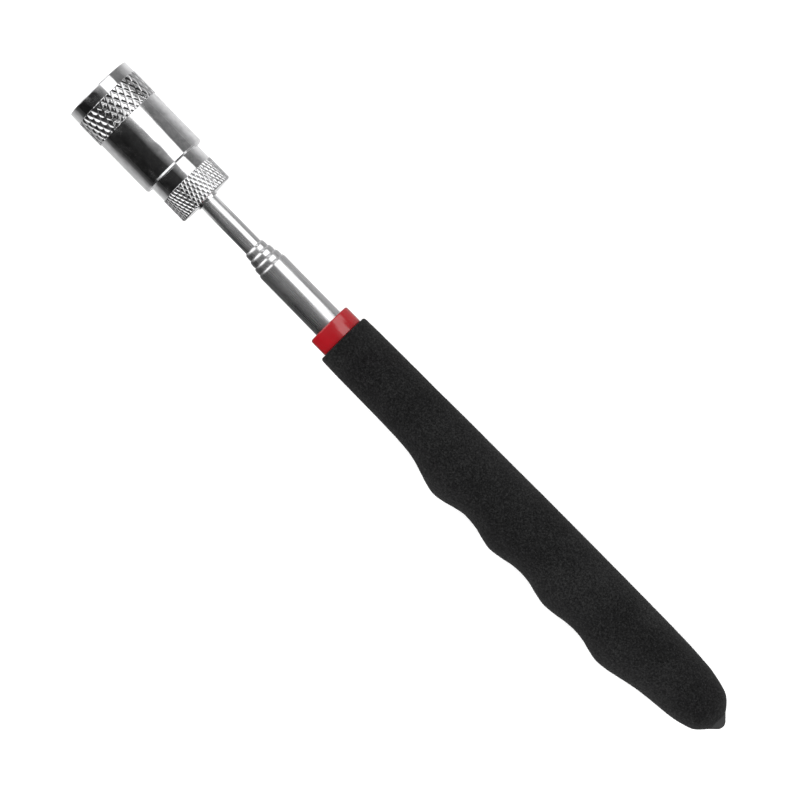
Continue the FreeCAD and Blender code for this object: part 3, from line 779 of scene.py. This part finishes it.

# Painted shade on the floor, which only gloss sees: its paleness by distance from the tool towards +Y,
# in millimetres, beside the head and beside the shaft.
PAINTED_FLOOR_SHADE_BY_HEAD = [
    (-138, 0.2),
    (-60, 0.27),
    (-36, 0.38),
    (-17, 0.64),
    (-10, 0.8),
    (10, 0.7),
    (17, 0.44),
    (36, 0.24),
    (60, 0.06),
    (138, 0.015),
]
PAINTED_FLOOR_SHADE_BY_SHAFT = [
    (-138, 0.22),
    (-25, 0.25),
    (-10, 0.4),
    (-6, 0.4),
    (4, 0.4),
    (9, 0.26),
    (12, 0.06),
    (25, 0.015),
    (138, 0.01),
]
# Where along x the floor's painted shade changes from the shaft's to the head's, in metres.
PAINTED_SHADE_HEAD_REGION = (0.066, 0.074)


def floor():
    """A pale paper sheet; gloss sees painted shade on it that darkens away from the tool, like a dark room.
    """
    material, nodes, shader = surface("floor_paper_and_painted_shade", (0.93, 0.93, 0.93), 0.9)
    fibre = nodes.noise(nodes.place(), 900, 3)
    paper = nodes.ramp(fibre, [(0.3, 0.925), (0.7, 0.935)])
    point = nodes.add("ShaderNodeSeparateXYZ", {0: nodes.add("ShaderNodeTexCoord").outputs["Object"]})
    share = nodes.span(point.outputs["Y"], AXIS_Y - PAINTED_SHADE_REACH, AXIS_Y + PAINTED_SHADE_REACH)

    def painted_shade_ramp(tones):
        return nodes.ramp(share, [(0.5 + away * MM / PAINTED_SHADE_REACH / 2, glow) for away, glow in tones])

    by_head = nodes.span(point.outputs["X"], *PAINTED_SHADE_HEAD_REGION, smooth=True)
    # The floor's colour as gloss sees it is painted shade, darker away from the tool; other rays see the
    # paper.
    painted_floor_shade = nodes.mix(by_head, painted_shade_ramp(PAINTED_FLOOR_SHADE_BY_SHAFT), painted_shade_ramp(PAINTED_FLOOR_SHADE_BY_HEAD))
    gloss = nodes.add("ShaderNodeLightPath").outputs["Is Glossy Ray"]
    nodes.put(shader.inputs["Base Color"], nodes.mix(gloss, paper, painted_floor_shade))
    nodes.put(shader.inputs["Emission Color"], (1, 1, 1, 1))
    nodes.put(shader.inputs["Emission Strength"], nodes.span(gloss, 0, 1, FLOOR_GLOW, 0))
    shader.inputs["Specular IOR Level"].default_value = 0.1
    half = FLOOR_SIDE / 2
    mesh = bpy.data.meshes.new("floor")
    corners = [(-half, -half, 0), (half, -half, 0), (half, half, 0), (-half, half, 0)]
    mesh.from_pydata(corners, [], [(0, 1, 2, 3)])
    mesh.materials.append(material)
    sheet = bpy.data.objects.new("floor", mesh)
    sheet.location.z = -FLOOR_GAP
    bpy.context.scene.collection.objects.link(sheet)


# Brightness of the studio by angle about the tool, in degrees from straight up towards +Y, as gloss shows
# it: straight out from the shaft, aslant towards the head and the handle, and steeply towards the two ends.
STUDIO = [
    (-180, 0.9),
    (-104, 0.7),
    (-96, 0.25),
    (-57, 0.17),
    (-52, 1.8),
    (-14, 1.8),
    (-10, 0.4),
    (4, 0.19),
    (16, 0.035),
    (60, 0.012),
    (90, 0.012),
    (104, 0.3),
    (180, 0.9),
]
TOWARDS_HEAD = [
    (-180, 0.6),
    (-100, 0.45),
    (-64, 0.35),
    (-50, 0.25),
    (-18, 0.25),
    (-8, 1.5),
    (44, 1.5),
    (56, 0.5),
    (90, 0.6),
    (180, 0.6),
]
TOWARDS_HANDLE = [
    (-180, 0.6),
    (-100, 0.45),
    (-68, 0.35),
    (-56, 0.03),
    (70, 0.03),
    (84, 0.35),
    (104, 0.55),
    (180, 0.6),
]
HEAD_END = [
    (-180, 0.9),
    (-96, 0.5),
    (-66, 0.2),
    (-60, 1.4),
    (-42, 1.4),
    (-39, 0.05),
    (-15, 0.05),
    (-11, 1.4),
    (70, 1.4),
    (96, 1.0),
    (180, 0.9),
]
HANDLE_END = [
    (-180, 0.9),
    (-96, 0.4),
    (-74, 0.3),
    (-66, 0.12),
    (-18, 0.12),
    (-11, 1.3),
    (96, 1.3),
    (112, 0.6),
    (180, 0.9),
]
# How far a direction slants along x where one list gives way to the next.
SLANTED = (0.2, 0.28)
STEEP_TO_HEAD = (0.48, 0.56)
STEEP_TO_HANDLE = (-0.52, -0.62)
# The studio's brightness for all but gloss.
STUDIO_GLOW = 1.5

# The same by angle for the card that stands beside the shaft alone.
SHAFT_CARD = [
    (-78, 0.22),
    (-73, 0.24),
    (-69, 1.6),
    (-21, 1.6),
    (-17, 0.2),
    (6, 0.13),
    (17, 0.125),
    (29, 0.105),
    (41, 0.085),
    (54, 0.065),
    (67, 0.03),
    (81, 0.01),
    (90, 0.005),
]
# The card's distance from the shaft's centre line and its span along x, in metres.
CARD_RADIUS = 0.06
CARD_SPAN_X = (0.031, 0.0764)
CARD_STEPS = 56


def by_angle(nodes, y, z, tones):
    """Brightness from a list of (degrees from straight up towards +Y, brightness)."""
    turn = nodes.span(nodes.math("ARCTAN2", y, z), -math.pi, math.pi)
    return nodes.ramp(turn, [((degrees + 180) / 360, glow) for degrees, glow in tones])


def studio():
    """A pale studio for what the light falls on; gloss mirrors long softboxes and dark flags in it."""
    world = bpy.data.worlds.new("studio")
    bpy.context.scene.world = world
    world.use_nodes = True
    nodes = Nodes(world.node_tree)
    way = nodes.add("ShaderNodeSeparateXYZ", {0: nodes.add("ShaderNodeTexCoord").outputs["Generated"]})
    x, y, z = (way.outputs[axis] for axis in "XYZ")
    mirrored = by_angle(nodes, y, z, STUDIO)
    for slant, tones in (
        ([-edge for edge in SLANTED], TOWARDS_HANDLE),
        (SLANTED, TOWARDS_HEAD),
        (STEEP_TO_HEAD, HEAD_END),
        (STEEP_TO_HANDLE, HANDLE_END),
    ):
        mirrored = nodes.mix(nodes.span(x, *slant, smooth=True), mirrored, by_angle(nodes, y, z, tones))
    gloss = nodes.add("ShaderNodeLightPath").outputs["Is Glossy Ray"]
    seen = nodes.mix(gloss, (STUDIO_GLOW,) * 3 + (1,), mirrored)
    background = nodes.add("ShaderNodeBackground", {"Color": seen, "Strength": 1.0})
    output = nodes.add("ShaderNodeOutputWorld")
    nodes.put(output.inputs["Surface"], background.outputs[0])


def shaft_card():
    """A curved card over the shaft that only gloss shows: it widens the softbox and shades off beyond it."""
    first, last = SHAFT_CARD[0][0], SHAFT_CARD[-1][0]
    vertices = []
    for x in CARD_SPAN_X:
        for step in range(CARD_STEPS + 1):
            angle = math.radians(first + (last - first) * step / CARD_STEPS)
            vertices.append((x, CARD_RADIUS * math.sin(angle), CARD_RADIUS * math.cos(angle)))
    faces = [(i, i + 1, i + CARD_STEPS + 2, i + CARD_STEPS + 1) for i in range(CARD_STEPS)]
    mesh = bpy.data.meshes.new("shaft_card")
    mesh.from_pydata(vertices, [], faces)
    material = bpy.data.materials.new("shaft_card")
    material.use_nodes = True
    nodes = Nodes(material.node_tree)
    point = nodes.add("ShaderNodeSeparateXYZ", {0: nodes.add("ShaderNodeTexCoord").outputs["Object"]})
    glow = by_angle(nodes, point.outputs["Y"], point.outputs["Z"], SHAFT_CARD)
    emission = nodes.add("ShaderNodeEmission", {"Color": glow, "Strength": 1.0})
    output = nodes.add("ShaderNodeOutputMaterial")
    nodes.put(output.inputs["Surface"], emission.outputs[0])
    mesh.materials.append(material)
    card = bpy.data.objects.new("shaft_card", mesh)
    card.location = (0, AXIS_Y, AXIS_Z)
    card.visible_camera = False
    card.visible_diffuse = False
    card.visible_shadow = False
    card.visible_transmission = False
    bpy.context.scene.collection.objects.link(card)


# Where the camera stands and how high above the shaft's centre line, in metres, and its turn in degrees.
CAMERA_OVER = (0.00323, -0.00027)
CAMERA_HEIGHT = 1.7014
CAMERA_TURN = -134.4


def camera():
    """Looks straight down on the tool from far enough that it hardly tapers."""
    data = bpy.data.cameras.new("camera")
    data.lens = 300
    data.sensor_width = 36
    data.clip_end = 50
    item = bpy.data.objects.new("camera", data)
    item.location = (*CAMERA_OVER, AXIS_Z + CAMERA_HEIGHT)
    item.rotation_euler = (0, 0, math.radians(CAMERA_TURN))
    bpy.context.scene.collection.objects.link(item)
    bpy.context.scene.camera = item


floor()
studio()
shaft_card()
camera()
bpy.context.scene.view_settings.view_transform = "Standard"
